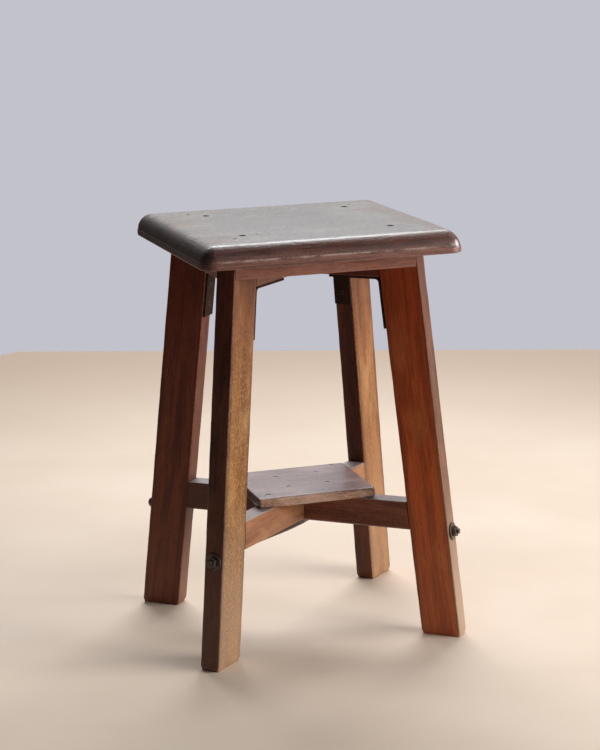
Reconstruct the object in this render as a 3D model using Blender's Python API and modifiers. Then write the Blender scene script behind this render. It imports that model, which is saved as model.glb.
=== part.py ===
"""Wooden work stool: a rounded seat board on four splayed legs, with a nailed shelf on crossed stretchers.

The legs stand on the stool's two diagonals and are turned to face the centre. Each diagonal carries an
upper beam under the seat, held to its legs by iron angle brackets, and a lower stretcher, held by an iron
tie rod that runs from leg to leg just under it. Both pairs of cross pieces are half-lapped at the centre.

Metres, +Z up, +Y towards the back, origin on the floor under the middle of the seat.
"""

import math

import bmesh
import bpy
from mathutils import Matrix, Vector

COLLECTION_NAME = "wooden_stool"

GAP = 0.0003  # clearance that neighbouring solids keep

# Seat board
SEAT_LENGTH = 0.288
SEAT_DEPTH = 0.268
SEAT_TOP = 0.450
SEAT_THICKNESS = 0.0238
SEAT_CORNER_RADIUS = 0.0155
SEAT_SHARPEST_CORNER = 0.0012
SEAT_ROUND_HEIGHT = 0.0163
SEAT_ROUND_WIDTH = 0.0172
SEAT_ROUND_STEPS = 7
SEAT_LEDGE = 0.0006
SEAT_LOWER_WEAR = 0.0010
SEAT_UNDERSIDE = SEAT_TOP - SEAT_THICKNESS

# Legs. Reach is the distance from the stool's centre line to a leg's axis, along its diagonal.
# The legs were fitted by hand, so their feet stand a little off one circle.
DIAGONAL_ANGLE = math.radians(41.0)
LEG_WIDTH = 0.0225
LEG_DEPTH = 0.0450
LEG_TOP = SEAT_UNDERSIDE - GAP
LEG_TOP_REACH = 0.1200
LEG_FOOT_REACHES = {
    "front_left": 0.1736,
    "back_right": 0.1730,
    "front_right": 0.1690,
    "back_left": 0.1707,
}
LEG_ARRIS = 0.0010
LEG_FOOT_WEAR = 0.0016

# Side rails under the seat
RAIL_HEIGHT = 0.0165
RAIL_THICKNESS = 0.0160
RAIL_ARRIS = 0.0006

# Cross pieces, upper and lower, all cut from one size of stock
CROSS_WIDTH = 0.0216
CROSS_HEIGHT = 0.0302
CROSS_ARRIS = 0.0008
BEAM_TOP = SEAT_UNDERSIDE - GAP
STRETCHER_TOP = 0.1483
TENON_LENGTH = 0.012
TENON_THICKNESS = 0.010
TENON_HEIGHT = 0.014

# Shelf
SHELF_LENGTH = 0.1345
SHELF_DEPTH = 0.1135
SHELF_THICKNESS = 0.0110
SHELF_CENTRE = (0.0022, -0.0027)
SHELF_TURN = math.radians(-1.6)
SHELF_EDGE_WEAR = 0.0022

# Tie rods, nuts, washers and forged heads
ROD_RADIUS = 0.0030
ROD_STEP = 0.015
LOW_ROD_DIP = 0.0052
LOW_ROD_HEIGHT = 0.1160
HIGH_ROD_HEIGHT = 0.1172
ROD_DIP_REACH = 0.120
ROD_PAST_NUT = 0.0021
NUT_ACROSS_FLATS = 0.0100
NUT_THICKNESS = 0.0042
WASHER_RADIUS = 0.0096
WASHER_THICKNESS = 0.0015
CAP_RADIUS = 0.0064
CAP_HEIGHT = 0.0072
CAP_SOCKET_DEPTH = 0.0026

# Angle brackets
BRACKET_WIDTH = 0.0208
BRACKET_THICKNESS = 0.0022
BRACKET_BEAM_ARM = 0.0580
BRACKET_LEG_ARM = 0.0565
BRACKET_BEND_RADIUS = 0.0040
BRACKET_SCREW_DISTANCES = (0.020, 0.042)

# Screws and nails
BRACKET_SCREW = {"head_radius": 0.0031, "head_height": 0.0015, "shank_radius": 0.0016, "length": 0.0160}
SEAT_SCREW = {"head_radius": 0.0034, "head_height": 0.0018, "shank_radius": 0.0018, "length": 0.0420}
SEAT_SCREW_PLACES = {
    "front_left": (-0.0816, -0.0688),
    "front_right": (0.0833, -0.0707),
    "back_left": (-0.0775, 0.0765),
    "back_right": (0.0854, 0.0776),
}
SEAT_COUNTERBORE_RADIUS = 0.0039
SEAT_COUNTERBORE_DEPTH = 0.0060
SCREW_SLOT_WIDTH = 0.0009
SCREW_SLOT_DEPTH = 0.0009
NAIL_HEAD_RADIUS = 0.0024
NAIL_HEAD_HEIGHT = 0.0008
NAIL_SHANK_RADIUS = 0.0012
NAIL_LENGTH = 0.024
NAIL_SINK = 0.0005
SHELF_NAILS = {
    "front_left_outer": (-0.0507, -0.0430),
    "front_left_inner": (-0.0200, -0.0205),
    "back_right_inner": (0.0272, 0.0236),
    "back_right_outer": (0.0538, 0.0465),
    "front_right_inner": (0.0255, -0.0200),
    "back_left_inner": (-0.0205, 0.0225),
}

ROUND_SEGMENTS = 16
SMALL_ROUND_SEGMENTS = 12

# The turn about Z that points +X from the stool's centre line to each leg
LEG_TURNS = {
    "front_left": math.pi + DIAGONAL_ANGLE,
    "back_right": DIAGONAL_ANGLE,
    "front_right": -DIAGONAL_ANGLE,
    "back_left": math.pi - DIAGONAL_ANGLE,
}
# Each diagonal's name, its turn, and the legs at its +X and -X ends
DIAGONALS = {
    "a": (DIAGONAL_ANGLE, "back_right", "front_left"),
    "b": (-DIAGONAL_ANGLE, "front_right", "back_left"),
}

MATERIALS = {
    "seat_wood": ((0.105, 0.060, 0.040), 0.32, 0.0),
    "leg_wood": ((0.210, 0.090, 0.042), 0.48, 0.0),
    "rail_wood": ((0.180, 0.078, 0.045), 0.52, 0.0),
    "cross_wood": ((0.165, 0.072, 0.038), 0.50, 0.0),
    "shelf_wood": ((0.190, 0.110, 0.080), 0.55, 0.0),
    "bracket_iron": ((0.045, 0.036, 0.032), 0.55, 0.8),
    "rod_iron": ((0.085, 0.078, 0.072), 0.45, 0.9),
    "screw_iron": ((0.070, 0.060, 0.052), 0.50, 0.9),
}


def clear_scene():
    for scene_object in list(bpy.data.objects):
        bpy.data.objects.remove(scene_object)


def new_collection(name):
    collection = bpy.data.collections.new(name)
    bpy.context.scene.collection.children.link(collection)
    return collection


def make_material(name):
    colour, roughness, metallic = MATERIALS[name]
    material = bpy.data.materials.new(name)
    material.use_nodes = True
    shader = material.node_tree.nodes["Principled BSDF"]
    shader.inputs["Base Color"].default_value = (*colour, 1.0)
    shader.inputs["Roughness"].default_value = roughness
    shader.inputs["Metallic"].default_value = metallic
    return material


clear_scene()
parts = new_collection(COLLECTION_NAME)
cutters = new_collection("cutters")
materials = {name: make_material(name) for name in MATERIALS}


def add_part(name, mesh, material_name, matrix=None):
    part = bpy.data.objects.new(name, mesh)
    if matrix is not None:
        part.matrix_world = matrix
    mesh.materials.append(materials[material_name])
    parts.objects.link(part)
    return part


def add_cutter(name, mesh, matrix=None):
    cutter = bpy.data.objects.new(name, mesh)
    if matrix is not None:
        cutter.matrix_world = matrix
    cutters.objects.link(cutter)
    cutter.hide_render = True
    cutter.display_type = "WIRE"
    return cutter


def cut(part, cutter):
    modifier = part.modifiers.new("cut_" + cutter.name, "BOOLEAN")
    modifier.operation = "DIFFERENCE"
    modifier.solver = "EXACT"
    modifier.object = cutter


def smooth(mesh, angle=35):
    mesh.shade_smooth()
    mesh.set_sharp_from_angle(angle=math.radians(angle))


def mesh_from(bm, name):
    mesh = bpy.data.meshes.new(name)
    bm.to_mesh(mesh)
    bm.free()
    return mesh


def box_bmesh(low, high):
    bm = bmesh.new()
    bmesh.ops.create_cube(bm, size=1.0)
    size = Vector(high) - Vector(low)
    centre = (Vector(high) + Vector(low)) / 2
    for vert in bm.verts:
        vert.co = Vector([vert.co[i] * size[i] for i in range(3)]) + centre
    return bm


def cylinder_mesh(name, radius, low, high, segments=ROUND_SEGMENTS):
    """A cylinder on the Z axis from low to high."""
    bm = bmesh.new()
    shift = Matrix.Translation((0, 0, (low + high) / 2))
    bmesh.ops.create_cone(bm, cap_ends=True, segments=segments, radius1=radius, radius2=radius,
                          depth=high - low, matrix=shift)
    return mesh_from(bm, name)


def bevel(bm, edges, offset, segments=1):
    bmesh.ops.bevel(bm, geom=edges, offset=offset, segments=segments, profile=0.5,
                    affect="EDGES", clamp_overlap=True)


def edges_along(bm, axis):
    """The straight edges that run along one axis, or nearly so."""
    found = []
    for edge in bm.edges:
        direction = (edge.verts[1].co - edge.verts[0].co).normalized()
        if abs(direction[axis]) > 0.95:
            found.append(edge)
    return found


def edges_at_height(bm, height):
    return [e for e in bm.edges if all(abs(v.co.z - height) < 1e-6 for v in e.verts)]


def turned_mesh(name, profile, segments, closed=False):
    """A solid of revolution about Z, from (radius, height) points that run down its outer side.

    An open profile starts and ends on the axis. A closed one turns into a ring.
    """
    bm = bmesh.new()
    verts = [bm.verts.new((radius, 0, height)) for radius, height in profile]
    for first, second in zip(verts, verts[1:]):
        bm.edges.new((first, second))
    if closed:
        bm.edges.new((verts[-1], verts[0]))
    holder = bpy.data.objects.new(name, mesh_from(bm, name + "_profile"))
    screw = holder.modifiers.new("turn", "SCREW")
    screw.steps = segments
    screw.render_steps = segments
    screw.use_merge_vertices = True
    screw.merge_threshold = 0.00001
    mesh = evaluated_mesh(holder)
    smooth(mesh)
    return mesh


def tube_mesh(name, points, radius):
    """A solid round bar along a list of points."""
    curve = bpy.data.curves.new(name, "CURVE")
    curve.dimensions = "3D"
    curve.bevel_depth = radius
    curve.bevel_resolution = 2
    curve.use_fill_caps = True
    spline = curve.splines.new("POLY")
    spline.points.add(len(points) - 1)
    for spline_point, point in zip(spline.points, points):
        spline_point.co = (*point, 1.0)
    return mesh_of_curve(curve)


def outline_mesh(name, points, thickness):
    """A flat outline in the XY plane, thickened evenly to both sides."""
    curve = bpy.data.curves.new(name, "CURVE")
    curve.dimensions = "2D"
    curve.fill_mode = "BOTH"
    curve.extrude = thickness / 2
    spline = curve.splines.new("POLY")
    spline.points.add(len(points) - 1)
    for spline_point, point in zip(spline.points, points):
        spline_point.co = (*point, 0.0, 1.0)
    spline.use_cyclic_u = True
    return mesh_of_curve(curve)


def mesh_of_curve(curve):
    """The curve's solid as a mesh with its caps welded on. The curve is removed."""
    return evaluated_mesh(bpy.data.objects.new(curve.name, curve))


def evaluated_mesh(holder):
    """The welded mesh of an object as its modifiers and settings make it. The object is removed."""
    cutters.objects.link(holder)
    bpy.context.view_layer.update()
    evaluated = holder.evaluated_get(bpy.context.evaluated_depsgraph_get())
    mesh = bpy.data.meshes.new_from_object(evaluated)
    bpy.data.objects.remove(holder)
    bm = bmesh.new()
    bm.from_mesh(mesh)
    bmesh.ops.remove_doubles(bm, verts=bm.verts, dist=1e-6)
    bmesh.ops.recalc_face_normals(bm, faces=bm.faces)
    bm.to_mesh(mesh)
    bm.free()
    mesh.materials.clear()
    return mesh


def arc(centre, radius, start, end, steps=4):
    """Points along an arc, angles in degrees."""
    angles = [math.radians(start + (end - start) * i / steps) for i in range(steps + 1)]
    return [(centre[0] + radius * math.cos(a), centre[1] + radius * math.sin(a)) for a in angles]


def turned(angle):
    return Matrix.Rotation(angle, 4, "Z")


def pointing(origin, direction):
    """A matrix that stands +Z along a direction at a point."""
    turn = Vector(direction).to_track_quat("Z", "Y").to_matrix().to_4x4()
    return Matrix.Translation(origin) @ turn


def leg_reach(leg_name, height):
    """Distance from the centre line to a leg's axis at a height."""
    foot = LEG_FOOT_REACHES[leg_name]
    return foot + (LEG_TOP_REACH - foot) * height / LEG_TOP


def inner_face_reach(leg_name, height):
    return leg_reach(leg_name, height) - LEG_DEPTH / 2


def outer_face_reach(leg_name, height):
    return leg_reach(leg_name, height) + LEG_DEPTH / 2


def splay(leg_name):
    """A leg's lean from upright, in its diagonal's plane."""
    return math.atan2(LEG_FOOT_REACHES[leg_name] - LEG_TOP_REACH, LEG_TOP)


def out_of_face(leg_name):
    """The outward normal of a leg's outer face, in its diagonal's frame."""
    return Vector((math.cos(splay(leg_name)), 0, math.sin(splay(leg_name))))


def leg_bmesh(leg_name, grow=0.0):
    """One leg in its own diagonal's frame: +X is outward and the foot stands on the floor."""
    half_depth = LEG_DEPTH / 2 + grow
    half_width = LEG_WIDTH / 2 + grow
    bm = box_bmesh((-half_depth, -half_width, -grow), (half_depth, half_width, LEG_TOP + grow))
    for vert in bm.verts:
        vert.co.x += leg_reach(leg_name, vert.co.z)
    return bm


def make_leg(name):
    bm = leg_bmesh(name)
    bevel(bm, edges_along(bm, 2), LEG_ARRIS)
    bevel(bm, edges_at_height(bm, 0.0), LEG_FOOT_WEAR)
    return add_part("leg_" + name, mesh_from(bm, "leg_" + name), "leg_wood", turned(LEG_TURNS[name]))


def seat_contour(inset, height):
    """The seat's outline, drawn in from its widest outline by an inset, at one height."""
    radius = max(SEAT_CORNER_RADIUS - inset, SEAT_SHARPEST_CORNER)
    reach_x = SEAT_LENGTH / 2 - inset - radius
    reach_y = SEAT_DEPTH / 2 - inset - radius
    points = []
    for quarter, (side_x, side_y) in enumerate([(1, 1), (-1, 1), (-1, -1), (1, -1)]):
        centre = (side_x * reach_x, side_y * reach_y)
        points += arc(centre, radius, 90 * quarter, 90 * quarter + 90, steps=6)
    return [(x, y, height) for x, y in points]


def seat_levels():
    """(inset, height) pairs from the underside to the top: worn arris, plain band, ledge, round-over."""
    round_start = SEAT_TOP - SEAT_ROUND_HEIGHT
    levels = [
        (SEAT_LOWER_WEAR, SEAT_UNDERSIDE),
        (0, SEAT_UNDERSIDE + SEAT_LOWER_WEAR),
        (0, round_start - SEAT_LEDGE),
    ]
    for step in range(SEAT_ROUND_STEPS + 1):
        angle = math.pi / 2 * step / SEAT_ROUND_STEPS
        inset = SEAT_LEDGE + SEAT_ROUND_WIDTH * (1 - math.cos(angle))
        levels.append((inset, round_start + SEAT_ROUND_HEIGHT * math.sin(angle)))
    return levels


def lofted_bmesh(contours):
    """A closed solid through contours of equal point count, with a flat cap on the first and last."""
    bm = bmesh.new()
    rings = [[bm.verts.new(point) for point in contour] for contour in contours]
    for lower, upper in zip(rings, rings[1:]):
        for i, vert in enumerate(lower):
            j = (i + 1) % len(lower)
            bm.faces.new((vert, lower[j], upper[j], upper[i]))
    bm.faces.new(reversed(rings[0]))
    bm.faces.new(rings[-1])
    return bm


def make_seat():
    bm = lofted_bmesh([seat_contour(inset, height) for inset, height in seat_levels()])
    mesh = mesh_from(bm, "seat_board")
    smooth(mesh, 28)
    return add_part("seat_board", mesh, "seat_wood")


def rail_spans():
    """Each rail's name with the low and high corners of its blank, before the legs are cut out of it."""
    corner = Vector((LEG_TOP_REACH + LEG_DEPTH / 2, LEG_WIDTH / 2))
    cosine, sine = math.cos(DIAGONAL_ANGLE), math.sin(DIAGONAL_ANGLE)
    front_x = corner.x * cosine - corner.y * sine
    front_y = corner.x * sine + corner.y * cosine
    side_x = corner.x * cosine + corner.y * sine
    side_y = corner.x * sine - corner.y * cosine
    high = SEAT_UNDERSIDE - GAP
    low = high - RAIL_HEIGHT
    inner_y = front_y - RAIL_THICKNESS
    inner_x = side_x - RAIL_THICKNESS
    return {
        "front": ((-front_x, -front_y, low), (front_x, -inner_y, high)),
        "back": ((-front_x, inner_y, low), (front_x, front_y, high)),
        "left": ((-side_x, -side_y, low), (-inner_x, side_y, high)),
        "right": ((inner_x, -side_y, low), (side_x, side_y, high)),
    }


def make_rails():
    clearances = {}
    for name, turn in LEG_TURNS.items():
        mesh = mesh_from(leg_bmesh(name, grow=GAP), "leg_clearance_" + name)
        clearances[name] = add_cutter("leg_clearance_" + name, mesh, turned(turn))
    for side, (low, high) in rail_spans().items():
        bm = box_bmesh(low, high)
        along = 0 if side in ("front", "back") else 1
        bevel(bm, edges_along(bm, along), RAIL_ARRIS)
        rail = add_part("rail_" + side, mesh_from(bm, "rail_" + side), "rail_wood")
        for name, clearance in clearances.items():
            if side in name:
                cut(rail, clearance)


def cross_piece_bmesh(diagonal, low, high, grow=0.0):
    """A bar from leg to leg along X, with its ends leaning as the legs do."""
    _, plus_leg, minus_leg = DIAGONALS[diagonal]
    half_width = CROSS_WIDTH / 2 + grow
    bm = box_bmesh((-1, -half_width, low), (1, half_width, high))
    for vert in bm.verts:
        leg_name = plus_leg if vert.co.x > 0 else minus_leg
        vert.co.x *= inner_face_reach(leg_name, vert.co.z) - GAP
    return bm


def make_cross_piece(name, top, diagonal, lapped_from_above):
    """A bar on one diagonal, with half its height cut away where the other diagonal's bar crosses it."""
    bottom = top - CROSS_HEIGHT
    turn = DIAGONALS[diagonal][0]
    bm = cross_piece_bmesh(diagonal, bottom, top)
    bevel(bm, edges_along(bm, 0), CROSS_ARRIS)
    part = add_part(name, mesh_from(bm, name), "cross_wood", turned(turn))
    middle = (top + bottom) / 2
    if lapped_from_above:
        low, high = middle - GAP / 2, top + 0.001
    else:
        low, high = bottom - 0.001, middle + GAP / 2
    other = "b" if diagonal == "a" else "a"
    lap = mesh_from(cross_piece_bmesh(other, low, high, grow=GAP), name + "_lap")
    cut(part, add_cutter(name + "_lap", lap, turned(DIAGONALS[other][0])))
    return part


def tenon_box(leg_name, height, grow=0.0):
    """The stub tenon that enters a leg, in its diagonal's frame. It starts inside the stretcher."""
    shoulder = inner_face_reach(leg_name, height)
    half_thickness = TENON_THICKNESS / 2 + grow
    half_height = TENON_HEIGHT / 2 + grow
    start = shoulder - 0.005
    return box_bmesh((start, -half_thickness, height - half_height),
                     (shoulder + TENON_LENGTH + grow, half_thickness, height + half_height))


def add_tenons(stretcher, diagonal, legs):
    """Stub tenons on both ends of a stretcher, and the mortises that they enter."""
    height = STRETCHER_TOP - CROSS_HEIGHT / 2 + 0.002
    for leg_name in DIAGONALS[diagonal][1:]:
        placed = turned(LEG_TURNS[leg_name])
        tenon = add_cutter("tenon_" + leg_name, mesh_from(tenon_box(leg_name, height), "tenon"), placed)
        modifier = stretcher.modifiers.new("tenon_" + leg_name, "BOOLEAN")
        modifier.operation = "UNION"
        modifier.solver = "EXACT"
        modifier.object = tenon
        mortise = mesh_from(tenon_box(leg_name, height, grow=GAP), "mortise")
        cut(legs[leg_name], add_cutter("mortise_" + leg_name, mortise, placed))


def make_shelf():
    half_length = SHELF_LENGTH / 2
    half_depth = SHELF_DEPTH / 2
    low = STRETCHER_TOP + GAP
    bm = box_bmesh((-half_length, -half_depth, low), (half_length, half_depth, low + SHELF_THICKNESS))
    bevel(bm, list(bm.edges), SHELF_EDGE_WEAR, segments=3)
    mesh = mesh_from(bm, "shelf_board")
    smooth(mesh)
    placed = Matrix.Translation((*SHELF_CENTRE, 0)) @ turned(SHELF_TURN)
    return add_part("shelf_board", mesh, "shelf_wood", placed)


def nail_profile():
    """Half outline of a nail with its head's top at height 0."""
    return [
        (0, 0),
        (NAIL_HEAD_RADIUS, 0),
        (NAIL_HEAD_RADIUS, -NAIL_HEAD_HEIGHT),
        (NAIL_SHANK_RADIUS, -NAIL_HEAD_HEIGHT),
        (NAIL_SHANK_RADIUS, -NAIL_LENGTH + NAIL_SHANK_RADIUS),
        (0, -NAIL_LENGTH),
    ]


def nail_shelf(shelf, stretchers):
    """Cut nails through the shelf into the stretchers, with their heads just below the surface."""
    top = STRETCHER_TOP + GAP + SHELF_THICKNESS - NAIL_SINK
    for place, (x, y) in SHELF_NAILS.items():
        position = Matrix.Translation((x, y, top))
        nail = turned_mesh("nail", nail_profile(), SMALL_ROUND_SEGMENTS)
        add_part("shelf_nail_" + place, nail, "screw_iron", position)
        hole = cylinder_mesh("nail_hole", NAIL_HEAD_RADIUS + GAP, -NAIL_HEAD_HEIGHT - GAP, 0.005,
                             SMALL_ROUND_SEGMENTS)
        shank = cylinder_mesh("nail_shank_hole", NAIL_SHANK_RADIUS + GAP, -NAIL_LENGTH - GAP,
                              0.001, SMALL_ROUND_SEGMENTS)
        cut(shelf, add_cutter("nail_head_hole_" + place, hole, position))
        shank_cutter = add_cutter("nail_shank_hole_" + place, shank, position)
        cut(shelf, shank_cutter)
        on_diagonal_a = x * y > 0
        cut(stretchers["a" if on_diagonal_a else "b"], shank_cutter)


def screw_profile(size, grow=0.0, mouth=0.0):
    """Half outline of a countersunk screw, its head's top at height 0. A mouth opens the way in above it."""
    head_radius = size["head_radius"] + grow
    shank_radius = size["shank_radius"] + grow
    length = size["length"] + grow
    outline = [(0, mouth), (head_radius, mouth)] if mouth else [(0, 0)]
    return outline + [
        (head_radius, 0),
        (shank_radius, -size["head_height"]),
        (shank_radius, -length + 2 * shank_radius),
        (0, -length),
    ]


def add_screw(name, size, placed, slot_turn):
    """A slotted screw, and the cutter that makes room for it in whatever it passes through."""
    mesh = turned_mesh("screw", screw_profile(size), SMALL_ROUND_SEGMENTS)
    screw = add_part(name, mesh, "screw_iron", placed)
    half_slot = SCREW_SLOT_WIDTH / 2
    reach = size["head_radius"] + 0.001
    slot = box_bmesh((-reach, -half_slot, -SCREW_SLOT_DEPTH), (reach, half_slot, 0.001))
    slot_cutter = add_cutter("slot_" + name, mesh_from(slot, "slot"), placed @ turned(slot_turn))
    cut(screw, slot_cutter)
    hole = turned_mesh("screw_hole", screw_profile(size, GAP, mouth=0.004), SMALL_ROUND_SEGMENTS)
    return add_cutter("hole_" + name, hole, placed)


def screw_seat(seat, legs):
    """Four screws sunk in open counterbores, from the seat's top into the ends of the legs."""
    floor = SEAT_TOP - SEAT_COUNTERBORE_DEPTH
    for index, (leg_name, (x, y)) in enumerate(SEAT_SCREW_PLACES.items()):
        spot = Matrix.Translation((x, y, floor))
        hole = add_screw("seat_screw_" + leg_name, SEAT_SCREW, spot, 0.4 + 0.7 * index)
        counterbore = cylinder_mesh("counterbore", SEAT_COUNTERBORE_RADIUS, 0, 0.02)
        cut(seat, add_cutter("counterbore_" + leg_name, counterbore, spot))
        cut(seat, hole)
        cut(legs[leg_name], hole)


def bracket_outline(leg_name):
    """Side view of a bracket in its diagonal's plane, as (outward distance, height) points.

    One arm lies under the beam and the other follows the leg's leaning inner face.
    """
    lean = splay(leg_name)
    top = BEAM_TOP - CROSS_HEIGHT - GAP
    face = inner_face_reach(leg_name, top) - GAP / math.cos(lean)
    outside = BRACKET_BEND_RADIUS + BRACKET_THICKNESS
    bend = (face + math.tan(lean) * outside - outside / math.cos(lean), top - outside)
    outer_turn = arc(bend, outside, 90, math.degrees(lean))
    inner_turn = arc(bend, BRACKET_BEND_RADIUS, math.degrees(lean), 90)
    leg_arm = Vector((math.sin(lean), -math.cos(lean))) * (BRACKET_LEG_ARM - outside)
    outer_end = Vector(outer_turn[-1]) + leg_arm
    inner_end = Vector(inner_turn[0]) + leg_arm
    tip = face - BRACKET_BEAM_ARM
    return [(tip, top), *outer_turn, tuple(outer_end), tuple(inner_end), *inner_turn,
            (tip, top - BRACKET_THICKNESS)]


def bracket_screw_places(leg_name):
    """Each bracket screw's name and its place in the diagonal's frame, pointing out of the wood."""
    top = BEAM_TOP - CROSS_HEIGHT - GAP
    face = inner_face_reach(leg_name, top)
    out_of_leg = -out_of_face(leg_name)
    places = {}
    for index, distance in enumerate(BRACKET_SCREW_DISTANCES, start=1):
        under = (face - distance, 0, top - BRACKET_THICKNESS)
        places[f"beam_{index}"] = pointing(under, (0, 0, -1))
        height = top - distance * math.cos(splay(leg_name))
        seat_point = Vector((inner_face_reach(leg_name, height), 0, height))
        places[f"leg_{index}"] = pointing(seat_point + out_of_leg * (BRACKET_THICKNESS + GAP), out_of_leg)
    return places


def make_bracket(leg_name, leg, beam):
    placed = turned(LEG_TURNS[leg_name])
    mesh = outline_mesh("bracket", bracket_outline(leg_name), BRACKET_WIDTH)
    mesh.transform(Matrix.Rotation(math.pi / 2, 4, "X"))
    smooth(mesh, 50)
    bracket = add_part("bracket_" + leg_name, mesh, "bracket_iron", placed)
    for index, (place, spot) in enumerate(bracket_screw_places(leg_name).items()):
        hole = add_screw(f"bracket_screw_{leg_name}_{place}", BRACKET_SCREW, placed @ spot, 0.5 + 0.9 * index)
        cut(bracket, hole)
        cut(leg if place.startswith("leg") else beam, hole)


def rod_height(x, end_height, dip):
    """Height of a rod's axis: level, but for a smooth dip about the middle."""
    if abs(x) >= ROD_DIP_REACH:
        return end_height
    return end_height - dip * (1 + math.cos(math.pi * x / ROD_DIP_REACH)) / 2


def rod_points(nut_leg, cap_leg, end_height, dip, past_nut, past_cap):
    """The rod's axis along X. Outside the legs its ends turn square to the legs' outer faces."""
    start = -outer_face_reach(cap_leg, end_height)
    end = outer_face_reach(nut_leg, end_height)
    count = round((end - start) / ROD_STEP)
    points = []
    for i in range(count + 1):
        x = start + (end - start) * i / count
        points.append(Vector((x, 0, rod_height(x, end_height, dip))))
    cap_way = Matrix.Rotation(math.pi, 3, "Z") @ out_of_face(cap_leg)
    return [points[0] + cap_way * past_cap, *points, points[-1] + out_of_face(nut_leg) * past_nut]


def nut_mesh():
    bm = bmesh.new()
    corner_radius = NUT_ACROSS_FLATS / 2 / math.cos(math.pi / 6)
    shift = Matrix.Translation((0, 0, NUT_THICKNESS / 2))
    bmesh.ops.create_cone(bm, cap_ends=True, segments=6, radius1=corner_radius,
                          radius2=corner_radius, depth=NUT_THICKNESS, matrix=shift)
    bevel(bm, edges_at_height(bm, NUT_THICKNESS), 0.0005)
    return mesh_from(bm, "nut")


def washer_profile():
    """Section of a washer, down its outer side and back up its bore."""
    bore = ROD_RADIUS + GAP
    return [
        (bore, WASHER_THICKNESS),
        (WASHER_RADIUS - 0.0003, WASHER_THICKNESS),
        (WASHER_RADIUS, WASHER_THICKNESS - 0.0003),
        (WASHER_RADIUS, 0),
        (bore, 0),
    ]


def cap_profile():
    """Half outline of a domed head, down its outside and up into the blind socket in its flat side."""
    socket = ROD_RADIUS + GAP
    rim = 0.0006
    dome = []
    for step in range(6):
        angle = math.radians(90 - 18 * step)
        dome.append((CAP_RADIUS * math.cos(angle), rim + (CAP_HEIGHT - rim) * math.sin(angle)))
    dome[0] = (0, CAP_HEIGHT)
    return [*dome, (CAP_RADIUS, 0), (socket, 0), (socket, CAP_SOCKET_DEPTH), (0, CAP_SOCKET_DEPTH)]


def outside_place(leg_name, height, distance):
    """A place that stands out from a leg's outer face by a distance, on the rod's axis."""
    face = Vector((outer_face_reach(leg_name, height), 0, height))
    outward = out_of_face(leg_name)
    return turned(LEG_TURNS[leg_name]) @ pointing(face + outward * distance, outward)


def make_rod_fittings(nut_leg, cap_leg, height):
    """The washer and nut on a rod's threaded end, and the domed head on its other end."""
    washer = turned_mesh("washer", washer_profile(), 24, closed=True)
    add_part("washer_" + nut_leg, washer, "rod_iron", outside_place(nut_leg, height, GAP))
    nut_place = outside_place(nut_leg, height, WASHER_THICKNESS + 2 * GAP)
    nut = add_part("nut_" + nut_leg, nut_mesh(), "rod_iron", nut_place)
    bore = cylinder_mesh("nut_bore", ROD_RADIUS + GAP, -0.001, NUT_THICKNESS + 0.001)
    cut(nut, add_cutter("nut_bore_" + nut_leg, bore, nut_place))
    cap = turned_mesh("rod_head", cap_profile(), ROUND_SEGMENTS)
    add_part("rod_head_" + cap_leg, cap, "rod_iron", outside_place(cap_leg, height, GAP))


def make_tie_rod(name, diagonal, end_height, dip, stretchers, legs):
    """A rod under one stretcher, through both of its legs. Its nut is at the front leg."""
    nut_leg, cap_leg = sorted(DIAGONALS[diagonal][1:], reverse=True)
    placed = turned(LEG_TURNS[nut_leg])
    past_nut = WASHER_THICKNESS + NUT_THICKNESS + 3 * GAP + ROD_PAST_NUT
    past_cap = CAP_SOCKET_DEPTH - GAP
    axis = rod_points(nut_leg, cap_leg, end_height, dip, past_nut, past_cap)
    rod = tube_mesh(name, axis, ROD_RADIUS)
    smooth(rod, 40)
    add_part(name, rod, "rod_iron", placed)
    wider_axis = rod_points(nut_leg, cap_leg, end_height, dip, 0.01, 0.01)
    way = add_cutter(name + "_way", tube_mesh(name + "_way", wider_axis, ROD_RADIUS + GAP), placed)
    for part in (stretchers[diagonal], legs[nut_leg], legs[cap_leg]):
        cut(part, way)
    make_rod_fittings(nut_leg, cap_leg, end_height)


def build():
    legs = {name: make_leg(name) for name in LEG_TURNS}
    seat = make_seat()
    make_rails()
    beams = {
        "a": make_cross_piece("upper_beam_a", BEAM_TOP, "a", lapped_from_above=False),
        "b": make_cross_piece("upper_beam_b", BEAM_TOP, "b", lapped_from_above=True),
    }
    stretchers = {
        "a": make_cross_piece("lower_stretcher_a", STRETCHER_TOP, "a", lapped_from_above=False),
        "b": make_cross_piece("lower_stretcher_b", STRETCHER_TOP, "b", lapped_from_above=True),
    }
    for diagonal, (_, plus_leg, minus_leg) in DIAGONALS.items():
        add_tenons(stretchers[diagonal], diagonal, legs)
        for leg_name in (plus_leg, minus_leg):
            make_bracket(leg_name, legs[leg_name], beams[diagonal])
    make_tie_rod("tie_rod_a", "a", LOW_ROD_HEIGHT, LOW_ROD_DIP, stretchers, legs)
    make_tie_rod("tie_rod_b", "b", HIGH_ROD_HEIGHT, 0.0, stretchers, legs)
    screw_seat(seat, legs)
    nail_shelf(make_shelf(), stretchers)


build()
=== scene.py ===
"""Wooden work stool on a pale floor, in soft light from the right and from behind.

Metres, +Z up, +Y towards the back, origin on the floor under the middle of the seat.
"""

import math

import bmesh
import bpy
from mathutils import Matrix, Vector, noise


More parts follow.
